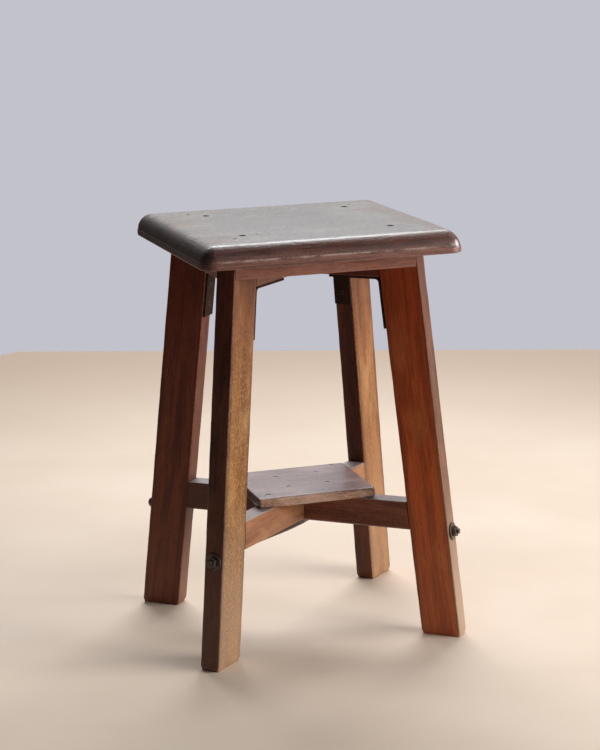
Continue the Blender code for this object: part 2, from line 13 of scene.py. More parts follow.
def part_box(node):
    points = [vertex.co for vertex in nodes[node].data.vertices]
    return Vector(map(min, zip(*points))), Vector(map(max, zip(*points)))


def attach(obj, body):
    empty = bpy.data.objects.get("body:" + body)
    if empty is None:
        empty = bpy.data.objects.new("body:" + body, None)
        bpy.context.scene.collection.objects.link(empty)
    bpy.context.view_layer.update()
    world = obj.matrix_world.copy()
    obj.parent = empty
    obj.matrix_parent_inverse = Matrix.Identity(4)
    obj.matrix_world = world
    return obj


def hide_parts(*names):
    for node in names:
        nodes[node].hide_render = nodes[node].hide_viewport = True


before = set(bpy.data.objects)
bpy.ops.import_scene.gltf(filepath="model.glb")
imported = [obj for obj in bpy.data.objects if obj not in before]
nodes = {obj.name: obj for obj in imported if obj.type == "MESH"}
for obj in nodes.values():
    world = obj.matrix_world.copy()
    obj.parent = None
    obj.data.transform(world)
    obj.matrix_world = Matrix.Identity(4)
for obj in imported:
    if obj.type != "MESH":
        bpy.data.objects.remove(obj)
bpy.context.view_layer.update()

# Camera, as found from the straight edges of the stool
CAMERA_PLACE = (-0.7500, -2.1975, 0.8110)
CAMERA_YAW = 0.3622
CAMERA_PITCH = 0.2256
CAMERA_ROLL = -0.0104
CAMERA_LENS = 103.9
CAMERA_SENSOR = 36.0
CAMERA_SHIFT = (-0.0905, 0.0)

# Floor and background
FLOOR_REACH = 1.41
FLOOR_SIDES = 8
FLOOR_TURN = math.radians(-22.5)
FLOOR_SINK = 0.0002
FLOOR_COLOURS = [(0.72, 0.59, 0.47, 1), (0.79, 0.66, 0.54, 1)]
# Painted shade colour of the far floor
FAR_FLOOR_SHADE_COLOUR = (0.44, 0.34, 0.26, 1)
BACKGROUND_COLOUR = (0.54, 0.54, 0.60, 1)
BRIGHT_SIDE = (0.85, 0.50, 0.15)
BRIGHT_SIDE_COLOUR = (0.60, 0.64, 0.68, 1)
DARK_SIDE_COLOUR = (0.05, 0.05, 0.055, 1)
LIGHTS = [
    ("window_right", (1.75, -1.25, 0.75), (0, 0, 0.25), (1.5, 1.3), 58, (1.0, 0.97, 0.94)),
    ("window_back", (0.62, 1.85, 2.15), (0, 0, 0.35), (2.2, 1.0), 78, (0.97, 0.98, 1.0)),
]

# Seat, as in the frame
SEAT_LENGTH = 0.288
SEAT_DEPTH = 0.268
SEAT_TOP = 0.450
SEAT_UNDERSIDE = 0.4262
SEAT_LEDGE_HEIGHT = 0.4337
SEAT_CORNER_RADIUS = 0.0155
SEAT_ROUND_WIDTH = 0.0172
SEAT_ROUND_STEPS = 16
SEAT_LEDGE = 0.0007
SEAT_SHARPEST_CORNER = 0.0012
SEAT_CRACK = 0.0875
SEAT_CRACK_BACK = -0.1180
SEAT_CRACK_FOOT = 0.4375
# Middle of the painted highlight on the seat's front right corner
SEAT_PAINTED_GLINT = (0.1354, -0.1300, 0.4368)
SEAT_SCREWS = [(-0.0816, -0.0688), (0.0833, -0.0707), (-0.0775, 0.0765), (0.0854, 0.0776)]
SEAT_NAIL_HOLES = [
    (-0.0931, 0.0926, 0.0022), (-0.0952, -0.0858, 0.0029), (-0.0653, -0.0669, 0.0018),
    (0.0972, 0.0941, 0.0022), (0.0577, -0.0698, 0.0014),
]
COUNTERBORE_RADIUS = 0.0039
COUNTERBORE_DEPTH = 0.0060
NAIL_HOLE_DEPTH = 0.0028
NAIL_HOLE_TAPER = 0.6
SEAT_OUTLINE_STEPS = (72, 68)
SEAT_CORNER_STEPS = 10
SEAT_CORNER_WEAR = 0.0026
SEAT_CORNER_WEAR_REACH = 0.045
SEAT_SURFACE_WEAR = 0.00025

# Legs, as in the frame: the direction of each and its foot's reach from the centre line. Then its finish:
# which of its two sides faces the front of the stool, how speckled that side is, how dusty its sides and
# its faces are low down, and how much painted shade from the seat darkens its top
DIAGONAL_ANGLE = math.radians(41.0)
LEG_WIDTH = 0.0225
LEG_DEPTH = 0.0450
LEG_TOP = 0.4259
LEG_TOP_REACH = 0.1200
LEG_STATIONS = 90
LEG_OUTLINE_STEPS = (8, 4)
LEG_EDGE_STEPS = 4
LEG_EDGE_RADIUS = 0.0011
LEG_EDGE_WEAR = 0.0005
LEG_SURFACE_WEAR = 0.0001
LEG_FOOT_WEAR = 0.0024
LEG_FOOT_WORN_HEIGHT = 0.0030
LEGS = {
    "front_left": (math.pi + DIAGONAL_ANGLE, 0.1736, (-1, 0.65, 0.44, 0.16, 0.55)),
    "front_right": (-DIAGONAL_ANGLE, 0.1690, (1, 0.15, 0.14, 0.80, 0.42)),
    "back_left": (math.pi - DIAGONAL_ANGLE, 0.1707, (-1, 0.15, 0.06, 0.20, 0.55)),
    "back_right": (DIAGONAL_ANGLE, 0.1730, (1, 0.40, 0.26, 0.06, 0.78)),
}

# Width of the crossed beams and stretchers, as in the frame
CROSS_WIDTH = 0.0216

# Shelf, as in the frame
SHELF_LENGTH = 0.1345
SHELF_DEPTH = 0.1135
SHELF_LOW = 0.1486
SHELF_HIGH = 0.1596
SHELF_CENTRE = (0.0022, -0.0027)
SHELF_TURN = math.radians(-1.6)
SHELF_NAILS = [
    (-0.0507, -0.0430), (-0.0200, -0.0205), (0.0272, 0.0236),
    (0.0538, 0.0465), (0.0255, -0.0200), (-0.0205, 0.0225),
]
SHELF_NAIL_HOLE_RADIUS = 0.0028
SHELF_NAIL_HOLE_DEPTH = 0.0016
SHELF_NAIL_HOLE_TAPER = 0.9
SHELF_OUTLINE_STEPS = (44, 38)
SHELF_CORNER_RADIUS = 0.0030
SHELF_CORNER_STEPS = 4
SHELF_EDGE_RADIUS = 0.0026
SHELF_EDGE_STEPS = 6
SHELF_WEAR = 0.0009

# Sharpest angle, in degrees, that is shaded smooth
SEAT_SMOOTH_ANGLE = 28
LEG_SMOOTH_ANGLE = 40
SHELF_SMOOTH_ANGLE = 35
PIT_SMOOTH_ANGLE = 40
PIT_SIDES = 20
PIT_OVERCUT = 0.002

# Each stain is three colours of the wood: dark grain, main and faded
STAINS = {
    "seat": ((0.028, 0.016, 0.010), (0.060, 0.035, 0.022), (0.200, 0.145, 0.095)),
    "seat_dull": ((0.055, 0.024, 0.014), (0.120, 0.058, 0.034), (0.215, 0.128, 0.085)),
    "seat_round": ((0.044, 0.014, 0.010), (0.110, 0.038, 0.026), (0.190, 0.080, 0.060)),
    "seat_band": ((0.100, 0.034, 0.022), (0.190, 0.074, 0.050), (0.280, 0.130, 0.095)),
    "front_left_side": ((0.140, 0.052, 0.012), (0.245, 0.100, 0.024), (0.480, 0.270, 0.100)),
    "front_left_face": ((0.046, 0.015, 0.010), (0.110, 0.036, 0.022), (0.190, 0.072, 0.042)),
    "front_right_side": ((0.350, 0.064, 0.015), (0.590, 0.122, 0.027), (0.640, 0.195, 0.058)),
    "front_right_face": ((0.086, 0.028, 0.014), (0.148, 0.060, 0.033), (0.270, 0.132, 0.078)),
    "back_left_side": ((0.085, 0.020, 0.008), (0.185, 0.044, 0.018), (0.250, 0.072, 0.030)),
    "back_left_face": ((0.078, 0.018, 0.008), (0.140, 0.034, 0.016), (0.220, 0.070, 0.036)),
    "back_right_side": ((0.180, 0.066, 0.018), (0.310, 0.128, 0.041), (0.480, 0.255, 0.110)),
    "back_right_face": ((0.052, 0.012, 0.006), (0.124, 0.029, 0.013), (0.195, 0.050, 0.023)),
    "back_side": ((0.110, 0.036, 0.018), (0.215, 0.082, 0.040), (0.330, 0.155, 0.085)),
    "rail": ((0.150, 0.054, 0.034), (0.270, 0.112, 0.076), (0.360, 0.175, 0.125)),
    "cross_a": ((0.150, 0.048, 0.018), (0.260, 0.098, 0.040), (0.420, 0.210, 0.100)),
    "cross_b": ((0.130, 0.036, 0.018), (0.240, 0.074, 0.038), (0.320, 0.120, 0.064)),
    "beam_a": ((0.120, 0.036, 0.014), (0.215, 0.078, 0.036), (0.320, 0.145, 0.075)),
    "beam_b": ((0.060, 0.013, 0.007), (0.120, 0.026, 0.015), (0.180, 0.052, 0.031)),
    "shelf": ((0.115, 0.055, 0.048), (0.218, 0.116, 0.107), (0.370, 0.238, 0.220)),
    "shelf_edge": ((0.205, 0.096, 0.060), (0.410, 0.218, 0.145), (0.600, 0.400, 0.295)),
}
WORN_WOOD = (0.420, 0.260, 0.180, 1)
RUBBED_VARNISH = (0.480, 0.340, 0.300, 1)
# Colour of the painted highlight on the seat's front right corner
PAINTED_GLINT_COLOUR = (0.850, 0.760, 0.740, 1)
SETTLED_DUST = (0.350, 0.315, 0.320, 1)
END_GRAIN = (0.045, 0.020, 0.015, 1)
DUSTY_WOOD = (0.420, 0.290, 0.200, 1)
REDDER_WOOD = (1.05, 0.82, 0.74, 1)
BLACKENED_WOOD = (0.034, 0.034, 0.037, 1)

# Each metal is its colour, the colour of its brown bloom, its roughness, the seed of its pattern, how
# metallic it is, and its specular level
METALS = {
    "bracket_iron": ((0.030, 0.015, 0.010), (0.060, 0.027, 0.017), 0.78, 1.3, 0.0, 0.12),
    "rod_iron": ((0.120, 0.098, 0.086), (0.110, 0.060, 0.038), 0.34, 4.1, 0.85, 0.30),
    "screw_iron": ((0.080, 0.062, 0.052), (0.100, 0.050, 0.030), 0.42, 7.7, 0.7, 0.30),
    "driven_screw_iron": ((0.050, 0.028, 0.020), (0.070, 0.032, 0.020), 0.60, 5.2, 0.2, 0.30),
    "nail_iron": ((0.340, 0.310, 0.310), (0.220, 0.150, 0.120), 0.34, 9.4, 0.2, 0.30),
}

# The first match for the start of a metal node's name gives its metal
METAL_OF_NODES = [
    ("shelf_nail", "nail_iron"),
    ("bracket_screw", "driven_screw_iron"),
    ("seat_screw", "screw_iron"),
    ("bracket_", "bracket_iron"),
    ("tie_rod", "rod_iron"),
    ("nut_", "rod_iron"),
    ("washer_", "rod_iron"),
    ("rod_head", "rod_iron"),
]


def make_camera():
    forward = Vector((
        math.sin(CAMERA_YAW) * math.cos(CAMERA_PITCH),
        math.cos(CAMERA_YAW) * math.cos(CAMERA_PITCH),
        -math.sin(CAMERA_PITCH),
    ))
    right = Vector((math.cos(CAMERA_YAW), -math.sin(CAMERA_YAW), 0))
    up = right.cross(forward)
    cosine, sine = math.cos(CAMERA_ROLL), math.sin(CAMERA_ROLL)
    rolled_right = cosine * right + sine * up
    rolled_up = cosine * up - sine * right
    turn = Matrix((rolled_right, rolled_up, -forward)).transposed()
    camera_data = bpy.data.cameras.new("camera")
    camera_data.sensor_width = CAMERA_SENSOR
    camera_data.lens = CAMERA_LENS
    camera_data.shift_x, camera_data.shift_y = CAMERA_SHIFT
    camera = bpy.data.objects.new("camera", camera_data)
    camera.matrix_world = Matrix.Translation(CAMERA_PLACE) @ turn.to_4x4()
    bpy.context.scene.collection.objects.link(camera)
    bpy.context.scene.camera = camera


class NodeTree:
    """Short calls for making a node tree. A socket's value is a number, a colour or another socket."""

    def __init__(self, owner):
        owner.use_nodes = True
        self.tree = owner.node_tree
        self.tree.nodes.clear()

    def set(self, socket, value):
        if isinstance(value, bpy.types.NodeSocket):
            self.tree.links.new(value, socket)
        else:
            socket.default_value = value

    def add(self, kind, inputs=None, **settings):
        node = self.tree.nodes.new(kind)
        for name, value in settings.items():
            setattr(node, name, value)
        for name, value in (inputs or {}).items():
            self.set(node.inputs[name], value)
        return node

    def math(self, operation, first, second=0.0, third=0.0):
        node = self.add("ShaderNodeMath", {0: first, 1: second, 2: third}, operation=operation)
        return node.outputs[0]

    def vector(self, operation, first, second):
        return self.add("ShaderNodeVectorMath", {0: first, 1: second}, operation=operation)

    def split(self, vector):
        return self.add("ShaderNodeSeparateXYZ", {0: vector}).outputs

    def noise(self, vector, stretch, detail=2.0, roughness=0.5, distortion=0.0):
        """Noise from 0 to 1 whose grains are stretched differently along each axis, in grains per metre."""
        scaled = self.vector("MULTIPLY", vector, stretch).outputs[0]
        settings = {"Vector": scaled, "Scale": 1.0, "Detail": detail, "Roughness": roughness,
                    "Distortion": distortion}
        return self.add("ShaderNodeTexNoise", settings).outputs[0]

    def ramp(self, value, low, high, to_low=0.0, to_high=1.0):
        """value mapped smoothly from low..high to to_low..to_high, and held there."""
        settings = {"Value": value, "From Min": low, "From Max": high, "To Min": to_low, "To Max": to_high}
        return self.add("ShaderNodeMapRange", settings, interpolation_type="SMOOTHSTEP").outputs[0]

    def mix(self, factor, first, second, blend="MIX"):
        inputs = {0: factor, 6: first, 7: second}
        return self.add("ShaderNodeMix", inputs, data_type="RGBA", blend_type=blend).outputs[2]

    def length(self, vector):
        return self.add("ShaderNodeVectorMath", {0: vector}, operation="LENGTH").outputs["Value"]

    def bump(self, height, distance):
        settings = {"Height": height, "Distance": distance, "Strength": 1.0}
        return self.add("ShaderNodeBump", settings).outputs[0]

    def surface(self, inputs):
        shader = self.add("ShaderNodeBsdfPrincipled", inputs)
        output = self.add("ShaderNodeOutputMaterial")
        self.tree.links.new(shader.outputs[0], output.inputs[0])


def local_point(tree, placed):
    """Coordinates in a piece's own frame: X along its grain, with its middle at zero."""
    location, rotation, _ = placed.decompose()
    point = tree.add("ShaderNodeTexCoord").outputs["Object"]
    settings = {"Vector": point, "Location": location, "Rotation": rotation.to_euler()}
    return tree.add("ShaderNodeMapping", settings, vector_type="TEXTURE").outputs[0]


def arris_distance(tree, point, half_size):
    """Distance from a point on a box's surface to the nearest edge of the box."""
    inward = []
    for axis, half in zip(tree.split(point), half_size):
        inward.append(tree.math("SUBTRACT", half, tree.math("ABSOLUTE", axis)))
    low = tree.math("MINIMUM", inward[0], inward[1])
    high = tree.math("MAXIMUM", inward[0], inward[1])
    return tree.math("MAXIMUM", low, tree.math("MINIMUM", high, inward[2]))


def wood_patterns(tree, point, seed):
    """The patterns that every piece of wood shares, each from 0 to 1."""
    shifted = tree.vector("ADD", point, (seed * 1.37, seed * 0.71, seed * 2.13)).outputs[0]
    return {
        "figure": tree.noise(shifted, (5, 75, 75), detail=3, roughness=0.55, distortion=0.6),
        "fibre": tree.noise(shifted, (24, 620, 620), detail=3, roughness=0.65),
        "pore": tree.noise(shifted, (85, 1400, 1400), detail=1, roughness=0.5),
        "blotch": tree.noise(shifted, (14, 30, 30), detail=3, roughness=0.6),
        "fleck": tree.noise(shifted, (330, 640, 640), detail=2, roughness=0.7),
        "dent": tree.noise(shifted, (70, 130, 130), detail=2, roughness=0.5),
    }


def deepened(stain, share):
    """A share of a stain's dark colour, for its pores, dirt and shade."""
    return (*[share * value for value in STAINS[stain][0]], 1)


def stained(tree, patterns, stain, speckle):
    """Stained wood: dark grain in the main colour, faded in blotches and speckles, with darker pores."""
    dark, main, faded = ((*colour, 1) for colour in STAINS[stain])
    grain = tree.math("MULTIPLY", patterns["figure"], 0.55)
    grain = tree.math("MULTIPLY_ADD", patterns["fibre"], 0.45, grain)
    colour = tree.mix(tree.ramp(grain, 0.40, 0.56), dark, main)
    blotches = tree.math("MULTIPLY", tree.ramp(patterns["blotch"], 0.45, 0.72), 0.55)
    colour = tree.mix(blotches, colour, faded)
    speckles = tree.math("MULTIPLY", tree.ramp(patterns["fleck"], 0.48, 0.66), speckle)
    colour = tree.mix(speckles, colour, faded)
    pores = tree.math("MULTIPLY", tree.ramp(patterns["pore"], 0.57, 0.70), 0.45)
    return tree.mix(pores, colour, deepened(stain, 0.4))


def wood_height(tree, patterns):
    """Relief of the surface: raised fibres, flaking varnish, open pores and shallow dents."""
    fibres = tree.math("MULTIPLY", patterns["fibre"], 0.5)
    flakes = tree.math("MULTIPLY_ADD", patterns["fleck"], 0.35, fibres)
    pores = tree.math("MULTIPLY_ADD", tree.ramp(patterns["pore"], 0.56, 0.72), -0.4, flakes)
    return tree.math("MULTIPLY_ADD", patterns["dent"], 0.8, pores)


def edge_wear(tree, patterns, point, half_size, width, strength):
    """A mask of wear along a box's edges: ragged in width and broken up along its length."""
    distance = arris_distance(tree, point, half_size)
    ragged = tree.math("MULTIPLY_ADD", patterns["fleck"], -2.0 * width, distance)
    wear = tree.ramp(ragged, -0.9 * width, 0.1 * width, strength, 0.0)
    return tree.math("MULTIPLY", wear, tree.ramp(patterns["blotch"], 0.38, 0.60, 0.25, 1.0))


def wood_surface(tree, patterns, colour, wear, roughness=0.46, specular=0.22, coat=0.0, bump=0.0002,
                 relief=0.0):
    """A varnished surface, duller where it is blotched or worn. Its relief adds to the wood's own."""
    uneven = tree.math("MULTIPLY_ADD", patterns["blotch"], 0.22, roughness - 0.11)
    tree.surface({
        "Base Color": colour,
        "Roughness": tree.math("MULTIPLY_ADD", wear, 0.20, uneven),
        "Specular IOR Level": specular,
        "Normal": tree.bump(tree.math("ADD", wood_height(tree, patterns), relief), bump),
        "Coat Weight": coat,
        "Coat Roughness": 0.16,
    })


def wood_material(name, stain, placed, half_size, seed, wear_strength=0.35, specular=0.25, coat=0.10,
                  painted_shade_end=0.0, dirt=0.0, dust=0.0):
    """Wood for a straight piece, rubbed pale along its edges.

    One end can be darker with painted shade, and the top can be dirty or dusty.
    """
    material = bpy.data.materials.new(name)
    tree = NodeTree(material)
    point = local_point(tree, placed)
    patterns = wood_patterns(tree, point, seed)
    colour = stained(tree, patterns, stain, 0.25)
    along, _, height = tree.split(point)
    top = half_size[2]
    wear = edge_wear(tree, patterns, point, half_size, 0.0014, wear_strength)
    colour = tree.mix(wear, colour, WORN_WOOD)
    # Painted shade towards one end
    shade = tree.ramp(along, -0.02, -0.07, 0.0, painted_shade_end)
    joint = tree.ramp(height, top - 0.0022, top - 0.0008, 0.0, dirt)
    colour = tree.mix(tree.math("MAXIMUM", shade, joint), colour, deepened(stain, 0.5))
    settled = tree.ramp(height, top - 0.0006, top - 0.0001, 0.0, dust)
    settled = tree.math("MULTIPLY", settled, tree.ramp(patterns["blotch"], 0.30, 0.60, 0.6, 1.0))
    colour = tree.mix(settled, colour, SETTLED_DUST)
    wood_surface(tree, patterns, colour, wear, roughness=0.40, specular=specular, coat=coat)
    return material


def leg_side_mask(tree, patterns, across, outward, half_size):
    """A mask, 1 on a leg's broad sides and 0 on its outer and inner faces, with a ragged border."""
    shift = tree.math("MULTIPLY_ADD", patterns["fleck"], 0.0020, -0.0010)
    ragged = tree.math("ADD", tree.math("ABSOLUTE", across), shift)
    on_side = tree.ramp(ragged, half_size[1] - 0.0018, half_size[1] - 0.0008)
    wrapped = tree.math("ADD", outward, shift)
    short_of_face = tree.ramp(wrapped, half_size[2] - 0.0022, half_size[2] - 0.0012, 1.0, 0.0)
    return tree.math("MULTIPLY", on_side, short_of_face)


def leg_stain_and_shade(tree, patterns, along, outward, half_size, top_shade):
    """A mask for the darker stain beside a leg's edges, and for painted shade near the seat."""
    blotched = tree.math("MULTIPLY_ADD", patterns["blotch"], 0.006, tree.math("ABSOLUTE", outward))
    beside_edge = tree.ramp(blotched, half_size[2] - 0.006, half_size[2] + 0.003, 0.0, 0.45)
    # Painted shade under the seat, towards the top of the leg
    near_seat = tree.ramp(along, 0.03, half_size[0], 0.0, top_shade)
    return tree.math("MAXIMUM", beside_edge, near_seat)


def leg_dust(tree, patterns, along, half_size):
    """A mask, 1 at a leg's foot and 0 about 0.2 m above it."""
    blotched = tree.math("MULTIPLY_ADD", patterns["blotch"], 0.10, along)
    return tree.ramp(blotched, 0.07 - half_size[0], 0.26 - half_size[0], 1.0, 0.0)


def leg_material(name, placed, half_size, seed, front, speckle, side_dust, face_dust, top_shade):
    """Wood for a leg, with one stain on its broad sides and another on its outer and inner faces.

    The stain is darker beside the edges, redder and in painted shade near the seat, dusty near the floor.
    """
    material = bpy.data.materials.new("leg_" + name + "_wood")
    tree = NodeTree(material)
    point = local_point(tree, placed)
    along, across, outward = tree.split(point)
    patterns = wood_patterns(tree, point, seed)
    side = stained(tree, patterns, name + "_side", tree.ramp(along, 0.10, 0.20, speckle, 0.3 * speckle))
    face = stained(tree, patterns, name + "_face", 0.2)
    frontward = tree.ramp(tree.math("MULTIPLY", across, front), -0.001, 0.001)
    side = tree.mix(frontward, stained(tree, patterns, "back_side", 0.3), side)
    on_side = leg_side_mask(tree, patterns, across, outward, half_size)
    colour = tree.mix(on_side, face, side)
    # Darker stain beside the edges, and painted shade near the seat
    shade = leg_stain_and_shade(tree, patterns, along, outward, half_size, top_shade)
    colour = tree.mix(tree.math("MULTIPLY", shade, on_side), colour, deepened(name + "_face", 0.6))
    near_seat = tree.ramp(along, 0.02, half_size[0] - 0.02)
    colour = tree.mix(near_seat, colour, REDDER_WOOD, "MULTIPLY")
    dustiness = tree.math("MULTIPLY_ADD", on_side, side_dust - face_dust, face_dust)
    dust = tree.math("MULTIPLY", leg_dust(tree, patterns, along, half_size), dustiness)
    colour = tree.mix(dust, colour, DUSTY_WOOD)
    wear = edge_wear(tree, patterns, point, half_size, 0.0016, 0.40)
    colour = tree.mix(wear, colour, WORN_WOOD)
    wood_surface(tree, patterns, colour, wear)
    return material


def seat_dullness(tree, point):
    """A ragged mask, 1 where the top's varnish is rubbed off: beside its left, right and back edges."""
    along, depth, _ = tree.split(point)
    aside = tree.math("MULTIPLY", tree.math("ABSOLUTE", along), 2 / SEAT_LENGTH)
    behind = tree.math("MULTIPLY", depth, 2 / SEAT_DEPTH)
    cloud = tree.noise(point, (22, 34, 34), detail=4, roughness=0.65)
    reach = tree.math("MULTIPLY_ADD", cloud, 1.5, tree.math("MAXIMUM", aside, behind))
    return tree.ramp(reach, 1.25, 1.75)


def seat_crack(tree, patterns, point):
    """A mask for a short crack across the round-over of the front edge."""
    along, depth, height = tree.split(point)
    wander = tree.math("MULTIPLY_ADD", patterns["dent"], 0.0022, -SEAT_CRACK - 0.0011)
    aside = tree.math("ABSOLUTE", tree.math("ADD", along, wander))
    crack = tree.ramp(aside, 0.0003, 0.0008, 0.9, 0.0)
    at_front = tree.ramp(depth, SEAT_CRACK_BACK - 0.0110, SEAT_CRACK_BACK, 1.0, 0.0)
    crack = tree.math("MULTIPLY", crack, at_front)
    return tree.math("MULTIPLY", crack, tree.ramp(height, SEAT_CRACK_FOOT, SEAT_CRACK_FOOT + 0.0015))


def seat_edge_wear_and_highlight(tree, patterns, along, height, left):
    """A mask for the broken pale line along the ledge: rubbed varnish with painted highlight where the
    ledge catches light. A fainter worn line runs along the lower arris.

    Both fade out at the left end and at the front right corner.
    """
    offset = tree.math("ABSOLUTE", tree.math("SUBTRACT", height, SEAT_LEDGE_HEIGHT + 0.0006))
    line = tree.ramp(offset, 0.0002, 0.0018, 0.68, 0.0)
    flecks = tree.math("MULTIPLY", patterns["fleck"], 0.4)
    broken = tree.ramp(tree.math("MULTIPLY_ADD", patterns["dent"], 0.6, flecks), 0.38, 0.60)
    lower = tree.ramp(height, SEAT_UNDERSIDE + 0.0003, SEAT_UNDERSIDE + 0.0016, 0.35, 0.0)
    wear = tree.math("MAXIMUM", tree.math("MULTIPLY", line, broken), tree.math("MULTIPLY", lower, broken))
    wear = tree.math("MULTIPLY", wear, tree.math("SUBTRACT", 1.0, left))
    right_end = SEAT_LENGTH / 2
    return tree.math("MULTIPLY", wear, tree.ramp(along, right_end - 0.0160, right_end - 0.0060, 1.0, 0.1))


def seat_painted_glint(tree, point):
    """A mask for a painted highlight: a small upright pale patch on the front right corner, for a glint."""
    away = tree.vector("SUBTRACT", point, SEAT_PAINTED_GLINT).outputs[0]
    away = tree.vector("MULTIPLY", away, (1.0, 1.0, 0.6)).outputs[0]
    return tree.ramp(tree.length(away), 0.0012, 0.0042, 0.75, 0.0)


def seat_top_colour(tree, patterns, mottle, dulled):
    """Dark varnish, browner where it is rubbed off and mottled all over."""
    colour = stained(tree, patterns, "seat", 0.45)
    rubbed = stained(tree, patterns, "seat_dull", 0.6)
    colour = tree.mix(tree.math("MULTIPLY", dulled, 0.75), colour, rubbed)
    return tree.mix(tree.ramp(mottle, 0.44, 0.62, 0.0, 0.70), colour, (*STAINS["seat"][2], 1))


def seat_material():
    """Dark varnished wood, redder on its edges, and blackened at the left end by end grain and painted
    shade.
    """
    material = bpy.data.materials.new("seat_wood")
    tree = NodeTree(material)
    point = local_point(tree, Matrix.Translation((0, 0, 0)))
    along, _, height = tree.split(point)
    patterns = wood_patterns(tree, point, 3)
    mottle = tree.noise(point, (340, 130, 340), detail=4, roughness=0.75)
    dulled = seat_dullness(tree, point)
    colour = seat_top_colour(tree, patterns, mottle, dulled)
    rounding = tree.ramp(height, SEAT_TOP - 0.0001, SEAT_TOP - 0.0030)
    colour = tree.mix(rounding, colour, stained(tree, patterns, "seat_round", 0.35))
    below = tree.ramp(height, SEAT_LEDGE_HEIGHT - 0.0008, SEAT_LEDGE_HEIGHT + 0.0004, 0.85, 0.0)
    colour = tree.mix(below, colour, stained(tree, patterns, "seat_band", 0.3))
    end = SEAT_LENGTH / 2
    left = tree.ramp(along, 0.004 - end, 0.017 - end, 1.0, 0.0)
    wear = seat_edge_wear_and_highlight(tree, patterns, along, height, left)
    # Pale ledge line: rubbed varnish, and painted highlight where the ledge catches light
    colour = tree.mix(wear, colour, RUBBED_VARNISH)
    # Darker round-over at the ends: end grain, with painted shade added at the left end
    right = tree.ramp(along, end - 0.0060, end - 0.0010, 0.0, 0.15)
    ends = tree.math("MAXIMUM", tree.math("MULTIPLY", left, 0.50), right)
    colour = tree.mix(tree.math("MULTIPLY", rounding, ends), colour, BLACKENED_WOOD)
    colour = tree.mix(seat_crack(tree, patterns, point), colour, BLACKENED_WOOD)
    # Painted highlight: a pale patch for a glint on the front right corner
    colour = tree.mix(seat_painted_glint(tree, point), colour, PAINTED_GLINT_COLOUR)
    dull = tree.math("MAXIMUM", wear, tree.math("MULTIPLY_ADD", mottle, 0.5, dulled))
    dull = tree.math("MAXIMUM", dull, below)
    relief = tree.math("MULTIPLY", mottle, 1.5)
    wood_surface(tree, patterns, colour, dull, roughness=0.32, specular=0.36, coat=0.22, bump=0.00032,
                 relief=relief)
    return material


def shelf_material(placed, half_size):
    """Varnished wood, worn pale along the shelf's front edge, with dark end grain at its two ends."""
    material = bpy.data.materials.new("shelf_wood")
    tree = NodeTree(material)
    point = local_point(tree, placed)
    patterns = wood_patterns(tree, point, 11)
    colour = stained(tree, patterns, "shelf", 0.45)
    along, depth, height = tree.split(point)
    end = tree.ramp(tree.math("ABSOLUTE", along), half_size[0] - 0.0024, half_size[0] - 0.0010, 0.0, 0.9)
    colour = tree.mix(end, colour, END_GRAIN)
    front = tree.ramp(depth, 0.0006 - half_size[1], 0.0032 - half_size[1], 1.0, 0.0)
    below_top = tree.ramp(height, half_size[2] - 0.0002, half_size[2] - 0.0014, 0.4, 1.0)
    front = tree.math("MULTIPLY", front, below_top)
    front = tree.math("MULTIPLY", front, tree.math("SUBTRACT", 1.0, end))
    colour = tree.mix(front, colour, stained(tree, patterns, "shelf_edge", 0.6))
    wear = edge_wear(tree, patterns, point, half_size, 0.0024, 0.55)
    wear = tree.math("MULTIPLY", wear, tree.ramp(end, 0.3, 0.8, 1.0, 0.3))
    colour = tree.mix(wear, colour, RUBBED_VARNISH)
    wood_surface(tree, patterns, colour, wear, roughness=0.38, specular=0.45, coat=0.25, bump=0.00028)
    return material


def metal_material(name, base, bloom_colour, rough, seed, metallic, specular):
    """Old dark metal with brown bloom and a rubbed, uneven skin."""
    material = bpy.data.materials.new(name)
    tree = NodeTree(material)
    point = tree.add("ShaderNodeTexCoord").outputs["Object"]
    shifted = tree.vector("ADD", point, (seed, seed * 0.3, seed * 0.7)).outputs[0]
    bloom = tree.noise(shifted, (160, 160, 160), detail=3, roughness=0.6)
    grit = tree.noise(shifted, (1300, 1300, 1300), detail=2, roughness=0.6)
    mask = tree.ramp(bloom, 0.44, 0.64)
    colour = tree.mix(mask, (*base, 1), (*bloom_colour, 1))
    rubbed = tree.math("MULTIPLY", tree.ramp(grit, 0.5, 0.75), 0.4)
    colour = tree.mix(rubbed, colour, (*[1.9 * value for value in base], 1))
    tree.surface({
        "Base Color": colour,
        "Metallic": metallic,
        "Roughness": tree.math("MULTIPLY_ADD", mask, 0.25, rough),
        "Normal": tree.bump(tree.math("ADD", grit, bloom), 0.00012),
        "Specular IOR Level": specular,
    })
    return material


def collection_link(piece):
    bpy.context.scene.collection.objects.link(piece)


def mesh_of(bm, name, smooth_angle):
    bmesh.ops.recalc_face_normals(bm, faces=bm.faces)
    mesh = bpy.data.meshes.new(name)
    bm.to_mesh(mesh)
    bm.free()
    shade_smooth(mesh, smooth_angle)
    return mesh


def add_piece(name, mesh, material, slot_name, *replaced):
    """A new piece that stands for CAD nodes and rides on the stool's one body."""
    piece = bpy.data.objects.new(name, mesh)
    mesh.materials.clear()
    mesh.materials.append(material)
    collection_link(piece)
    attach(piece, "root")
    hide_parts(*replaced)


def lofted(rings):
    """A closed solid through rings of equal point count, with a flat cap on the first and last."""
    bm = bmesh.new()
    made = [[bm.verts.new(point) for point in ring] for ring in rings]
    for lower, upper in zip(made, made[1:]):
        for i, vert in enumerate(lower):
            j = (i + 1) % len(lower)
            bm.faces.new((vert, lower[j], upper[j], upper[i]))
    bm.faces.new(reversed(made[0]))
    bm.faces.new(made[-1])
    return bm


